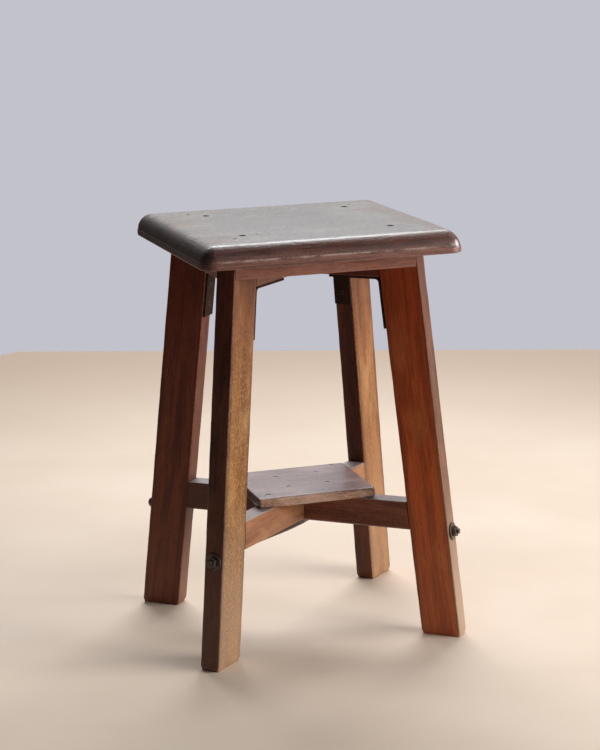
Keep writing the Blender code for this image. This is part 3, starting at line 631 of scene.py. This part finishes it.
def rounded_rectangle(length, depth, radius, side_steps, corner_steps):
    """Points round a rectangle with rounded corners, anticlockwise.

    side_steps are the steps along its X sides and along its Y sides.
    """
    reach_x, reach_y = length / 2 - radius, depth / 2 - radius
    corners = [(reach_x, reach_y), (-reach_x, reach_y), (-reach_x, -reach_y), (reach_x, -reach_y)]
    points = []
    for quarter, centre in enumerate(corners):
        for step in range(corner_steps + 1):
            angle = math.radians(90 * quarter + 90 * step / corner_steps)
            x = centre[0] + radius * math.cos(angle)
            y = centre[1] + radius * math.sin(angle)
            points.append(Vector((x, y)))
        following = Vector(corners[(quarter + 1) % 4])
        angle = math.radians(90 * quarter + 90)
        offset = Vector((radius * math.cos(angle), radius * math.sin(angle)))
        steps = side_steps[quarter % 2]
        for step in range(1, steps):
            points.append(Vector(centre).lerp(following, step / steps) + offset)
    return points


def smoothstep(low, high, value):
    t = min(1.0, max(0.0, (value - low) / (high - low)))
    return t * t * (3 - 2 * t)


def worn(point, scale, depth, seed):
    """A random inward wear from 0 to depth, the same each run."""
    value = noise.noise(Vector(point) * scale + Vector((seed, 2 * seed, 3 * seed)))
    return depth * (0.5 + 0.5 * value)


def drawn_in(point, depth, length, width):
    """A point of an outline of this length and width, moved towards its middle by a depth."""
    return point.x * (1 - depth / (length / 2)), point.y * (1 - depth / (width / 2))


def shade_smooth(mesh, smooth_angle):
    mesh.shade_smooth()
    mesh.set_sharp_from_angle(angle=math.radians(smooth_angle))


def cut_pits(mesh, pits, smooth_angle):
    """The mesh with round pits cut into it. Each pit is (x, y, top height, radius, depth, taper)."""
    holder = bpy.data.objects.new("pitted", mesh)
    collection_link(holder)
    cutters = []
    for x, y, top, radius, depth, taper in pits:
        bm = bmesh.new()
        shift = Matrix.Translation((x, y, top - depth / 2 + PIT_OVERCUT / 2))
        bmesh.ops.create_cone(bm, cap_ends=True, segments=PIT_SIDES, radius1=radius * taper,
                              radius2=radius, depth=depth + PIT_OVERCUT, matrix=shift)
        cutters.append(bpy.data.objects.new("pit", mesh_of(bm, "pit", PIT_SMOOTH_ANGLE)))
    pitted = apply_cuts(holder, cutters)
    shade_smooth(pitted, smooth_angle)
    return pitted


def apply_cuts(holder, cutters):
    """The holder's mesh less the cutters. The holder and the cutters are removed."""
    for cutter in cutters:
        collection_link(cutter)
        modifier = holder.modifiers.new("cut", "BOOLEAN")
        modifier.operation = "DIFFERENCE"
        modifier.object = cutter
    bpy.context.view_layer.update()
    evaluated = holder.evaluated_get(bpy.context.evaluated_depsgraph_get())
    mesh = bpy.data.meshes.new_from_object(evaluated)
    for used in [holder, *cutters]:
        bpy.data.objects.remove(used)
    mesh.materials.clear()
    return mesh


def seat_ring(inset, height):
    """The seat's outline drawn in by an inset, with more wear at the front right corner."""
    radius = max(SEAT_CORNER_RADIUS - inset, SEAT_SHARPEST_CORNER)
    size = (SEAT_LENGTH - 2 * inset, SEAT_DEPTH - 2 * inset)
    worn_corner = Vector((SEAT_LENGTH / 2, -SEAT_DEPTH / 2))
    corner_wear = SEAT_CORNER_WEAR * smoothstep(SEAT_UNDERSIDE, SEAT_TOP, height)
    roughness = 0.4 + 0.6 * smoothstep(0.0, 0.003, inset)
    ring = []
    for point in rounded_rectangle(*size, radius, SEAT_OUTLINE_STEPS, SEAT_CORNER_STEPS):
        depth = corner_wear * smoothstep(SEAT_CORNER_WEAR_REACH, 0.0, (worn_corner - point).length)
        depth += worn((point.x, point.y, height), 90, SEAT_SURFACE_WEAR, 5) * roughness
        ring.append((*drawn_in(point, depth, SEAT_LENGTH, SEAT_DEPTH), height))
    return ring


def seat_levels():
    """(inset, height) pairs from the underside to the top: plain band, small ledge, broad round-over."""
    levels = [
        (0.0016, SEAT_UNDERSIDE),
        (0.0007, SEAT_UNDERSIDE + 0.0004),
        (0.0001, SEAT_UNDERSIDE + 0.0013),
        (0.0, SEAT_UNDERSIDE + 0.0030),
        (0.0, SEAT_LEDGE_HEIGHT - 0.0016),
        (0.0001, SEAT_LEDGE_HEIGHT - 0.0006),
        (SEAT_LEDGE, SEAT_LEDGE_HEIGHT + 0.0001),
    ]
    for step in range(1, SEAT_ROUND_STEPS + 1):
        angle = math.pi / 2 * step / SEAT_ROUND_STEPS
        inset = SEAT_LEDGE + SEAT_ROUND_WIDTH * (1 - math.cos(angle))
        levels.append((inset, SEAT_LEDGE_HEIGHT + (SEAT_TOP - SEAT_LEDGE_HEIGHT) * math.sin(angle)))
    return levels


def make_seat():
    """The seat board, with the screws' counterbores and old nail holes in its top."""
    rings = [seat_ring(inset, height) for inset, height in seat_levels()]
    mesh = mesh_of(lofted(rings), "seat", SEAT_SMOOTH_ANGLE)
    pits = [(x, y, SEAT_TOP, COUNTERBORE_RADIUS, COUNTERBORE_DEPTH, 1.0) for x, y in SEAT_SCREWS]
    for x, y, radius in SEAT_NAIL_HOLES:
        pits.append((x, y, SEAT_TOP, radius, NAIL_HOLE_DEPTH, NAIL_HOLE_TAPER))
    mesh = cut_pits(mesh, pits, SEAT_SMOOTH_ANGLE)
    add_piece("seat_board_worn", mesh, seat_material(), "seat_wood", "seat_board")


def leg_lean(foot_reach):
    """The angle of a leg from upright."""
    return math.atan2(foot_reach - LEG_TOP_REACH, LEG_TOP)


def leg_frame(turn, foot_reach):
    """A leg's own frame: X up along its grain, Y across its width, Z outward."""
    lean = leg_lean(foot_reach)
    up = Vector((-math.sin(lean), 0, math.cos(lean)))
    out = Vector((math.cos(lean), 0, math.sin(lean)))
    across = out.cross(up)
    middle = Vector(((foot_reach + LEG_TOP_REACH) / 2, 0, LEG_TOP / 2))
    local = Matrix.Translation(middle) @ Matrix((up, across, out)).transposed().to_4x4()
    return Matrix.Rotation(turn, 4, "Z") @ local


def leg_ring(foot_reach, height, seed):
    """A leg's outline at one height, in its diagonal's frame, worn at its corners and round its foot."""
    reach = foot_reach + (LEG_TOP_REACH - foot_reach) * height / LEG_TOP
    foot_wear = smoothstep(LEG_FOOT_WORN_HEIGHT, 0.0, height)
    radius = LEG_EDGE_RADIUS + LEG_FOOT_WEAR / 2 * foot_wear
    size = (LEG_DEPTH - LEG_FOOT_WEAR * foot_wear, LEG_WIDTH - LEG_FOOT_WEAR * foot_wear)
    ring = []
    for point in rounded_rectangle(*size, radius, LEG_OUTLINE_STEPS, LEG_EDGE_STEPS):
        corner = Vector((LEG_DEPTH / 2 - abs(point.x), LEG_WIDTH / 2 - abs(point.y))).length
        place = (point.x + seed, point.y, height)
        depth = worn(place, 55, LEG_EDGE_WEAR, seed) * smoothstep(0.004, 0.0, corner)
        depth += worn(place, 30, LEG_SURFACE_WEAR, seed)
        x, y = drawn_in(point, depth, LEG_DEPTH, LEG_WIDTH)
        ring.append((x + reach, y, height))
    return ring


def make_leg(name, turn, foot_reach, finish, seed):
    """A leg with softened edges, rubbed more at its foot."""
    heights = [LEG_TOP * station / LEG_STATIONS for station in range(LEG_STATIONS + 1)]
    rings = [leg_ring(foot_reach, height, seed) for height in heights]
    mesh = mesh_of(lofted(rings), "leg_" + name, LEG_SMOOTH_ANGLE)
    mesh.transform(Matrix.Rotation(turn, 4, "Z"))
    cosine = math.cos(leg_lean(foot_reach))
    half_size = (LEG_TOP / 2 / cosine, LEG_WIDTH / 2, LEG_DEPTH / 2 * cosine)
    material = leg_material(name, leg_frame(turn, foot_reach), half_size, seed, *finish)
    add_piece("leg_" + name + "_worn", mesh, material, "leg_wood", "leg_" + name)


def shelf_levels():
    """(inset, height) pairs from the shelf's underside to its top, round both of its edges."""
    levels = []
    for step in range(SHELF_EDGE_STEPS + 1):
        angle = math.pi / 2 * step / SHELF_EDGE_STEPS
        inset = SHELF_EDGE_RADIUS * (1 - math.sin(angle))
        levels.append((inset, SHELF_LOW + SHELF_EDGE_RADIUS * (1 - math.cos(angle))))
    for step in range(SHELF_EDGE_STEPS + 1):
        angle = math.pi / 2 * step / SHELF_EDGE_STEPS
        inset = SHELF_EDGE_RADIUS * (1 - math.cos(angle))
        levels.append((inset, SHELF_HIGH - SHELF_EDGE_RADIUS * (1 - math.sin(angle))))
    return levels


def make_shelf():
    """The shelf board, with its edges worn round and sunk places for its nails."""
    outline = rounded_rectangle(SHELF_LENGTH, SHELF_DEPTH, SHELF_CORNER_RADIUS, SHELF_OUTLINE_STEPS,
                                SHELF_CORNER_STEPS)
    rings = []
    for inset, height in shelf_levels():
        ring = []
        for point in outline:
            depth = inset + worn((point.x, point.y, height), 120, SHELF_WEAR, 7)
            ring.append((*drawn_in(point, depth, SHELF_LENGTH, SHELF_DEPTH), height))
        rings.append(ring)
    mesh = mesh_of(lofted(rings), "shelf", SHELF_SMOOTH_ANGLE)
    placed = Matrix.Translation((*SHELF_CENTRE, 0)) @ Matrix.Rotation(SHELF_TURN, 4, "Z")
    mesh.transform(placed)
    hole = (SHELF_HIGH, SHELF_NAIL_HOLE_RADIUS, SHELF_NAIL_HOLE_DEPTH, SHELF_NAIL_HOLE_TAPER)
    mesh = cut_pits(mesh, [(x, y, *hole) for x, y in SHELF_NAILS], SHELF_SMOOTH_ANGLE)
    middle = placed @ Matrix.Translation((0, 0, (SHELF_LOW + SHELF_HIGH) / 2))
    half_size = (SHELF_LENGTH / 2, SHELF_DEPTH / 2, (SHELF_HIGH - SHELF_LOW) / 2)
    add_piece("shelf_board_worn", mesh, shelf_material(middle, half_size), "shelf_wood", "shelf_board")


def repaint(node_name, material):
    mesh = nodes[node_name].data
    mesh.materials.clear()
    mesh.materials.append(material)


def node_frame(node_name, turn):
    """The middle of a straight level CAD piece, with X along its grain, and half the size of its box."""
    low, high = (Vector(corner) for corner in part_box(node_name))
    middle = (low + high) / 2
    return Matrix.Translation(middle) @ Matrix.Rotation(turn, 4, "Z"), (high - low) / 2


def paint_rails():
    for index, side in enumerate(["front", "back", "left", "right"]):
        name = "rail_" + side
        turn = 0 if side in ("front", "back") else math.pi / 2
        placed, half = node_frame(name, turn)
        half_size = (half.x, half.y, half.z) if turn == 0 else (half.y, half.x, half.z)
        material = wood_material(name + "_wood", "rail", placed, half_size, 20 + index, wear_strength=0.18,
                                 specular=0.22, coat=0.0, dirt=0.8)
        repaint(name, material)


def paint_cross_pieces():
    """The crossed beams under the seat and the crossed stretchers: dusty on top, one end of one in painted
    shade.
    """
    names = ["upper_beam_a", "upper_beam_b", "lower_stretcher_a", "lower_stretcher_b"]
    for index, name in enumerate(names):
        turn = DIAGONAL_ANGLE if name.endswith("a") else -DIAGONAL_ANGLE
        placed, half = node_frame(name, turn)
        half_size = (half.xy.length, CROSS_WIDTH / 2, half.z)
        stain = ("beam_" if name.startswith("upper") else "cross_") + name[-1]
        # Painted shade on this stretcher's half towards the back left leg
        painted_shade_end = 0.75 if name == "lower_stretcher_b" else 0.0
        dust = 0.75 if name.startswith("lower") else 0.0
        material = wood_material(name + "_wood", stain, placed, half_size, 30 + index, painted_shade_end=painted_shade_end,
                                 dust=dust)
        repaint(name, material)


def metal_of(node_name):
    """The metal of a node, or None for a node of wood."""
    for start, metal in METAL_OF_NODES:
        if node_name.startswith(start):
            return metal
    return None


def paint_metal():
    materials = {name: metal_material(name, *look) for name, look in METALS.items()}
    for node_name in nodes:
        metal = metal_of(node_name)
        if metal:
            repaint(node_name, materials[metal])


def make_floor():
    bm = bmesh.new()
    radius = FLOOR_REACH / math.cos(math.pi / FLOOR_SIDES)
    turn = Matrix.Rotation(FLOOR_TURN, 4, "Z") @ Matrix.Rotation(math.pi / FLOOR_SIDES, 4, "Z")
    bmesh.ops.create_circle(bm, cap_ends=True, segments=FLOOR_SIDES, radius=radius, matrix=turn)
    mesh = bpy.data.meshes.new("floor")
    bm.to_mesh(mesh)
    bm.free()
    floor = bpy.data.objects.new("floor", mesh)
    floor.location.z = -FLOOR_SINK
    collection_link(floor)
    material = bpy.data.materials.new("floor")
    tree = NodeTree(material)
    point = tree.add("ShaderNodeTexCoord").outputs["Object"]
    cloud = tree.noise(point, (3, 3, 3), detail=3)
    colour = tree.mix(tree.ramp(cloud, 0.3, 0.7), *FLOOR_COLOURS)
    # Painted shade: the floor darkens away from the stool
    colour = tree.mix(tree.ramp(tree.length(point), 0.5, 1.5), colour, FAR_FLOOR_SHADE_COLOUR)
    tree.surface({"Base Color": colour, "Roughness": 0.7, "Specular IOR Level": 0.15})
    mesh.materials.append(material)


def make_world():
    """A pale background, which as light is bright only behind and to the right."""
    world = bpy.data.worlds.new("studio")
    bpy.context.scene.world = world
    tree = NodeTree(world)
    direction = tree.add("ShaderNodeTexCoord").outputs["Generated"]
    facing = tree.vector("DOT_PRODUCT", direction, Vector(BRIGHT_SIDE).normalized()).outputs["Value"]
    light = tree.mix(tree.ramp(facing, 0.30, 0.78), DARK_SIDE_COLOUR, BRIGHT_SIDE_COLOUR)
    seen = tree.add("ShaderNodeLightPath").outputs["Is Camera Ray"]
    colour = tree.mix(seen, light, BACKGROUND_COLOUR)
    background = tree.add("ShaderNodeBackground", {"Color": colour, "Strength": 1.0})
    output = tree.add("ShaderNodeOutputWorld")
    tree.tree.links.new(background.outputs[0], output.inputs[0])


def add_light(name, place, target, size, energy, colour):
    data = bpy.data.lights.new(name, "AREA")
    data.shape = "RECTANGLE"
    data.size, data.size_y = size
    data.energy = energy
    data.color = colour
    light = bpy.data.objects.new(name, data)
    light.location = place
    light.rotation_euler = (Vector(target) - Vector(place)).to_track_quat("-Z", "Y").to_euler()
    collection_link(light)


make_camera()
make_world()
for light in LIGHTS:
    add_light(*light)
make_floor()
make_seat()
for leg_seed, (leg_name, leg_shape) in enumerate(LEGS.items(), start=1):
    make_leg(leg_name, *leg_shape, leg_seed)
make_shelf()
paint_rails()
paint_cross_pieces()
paint_metal()
bpy.context.scene.view_settings.view_transform = "Standard"
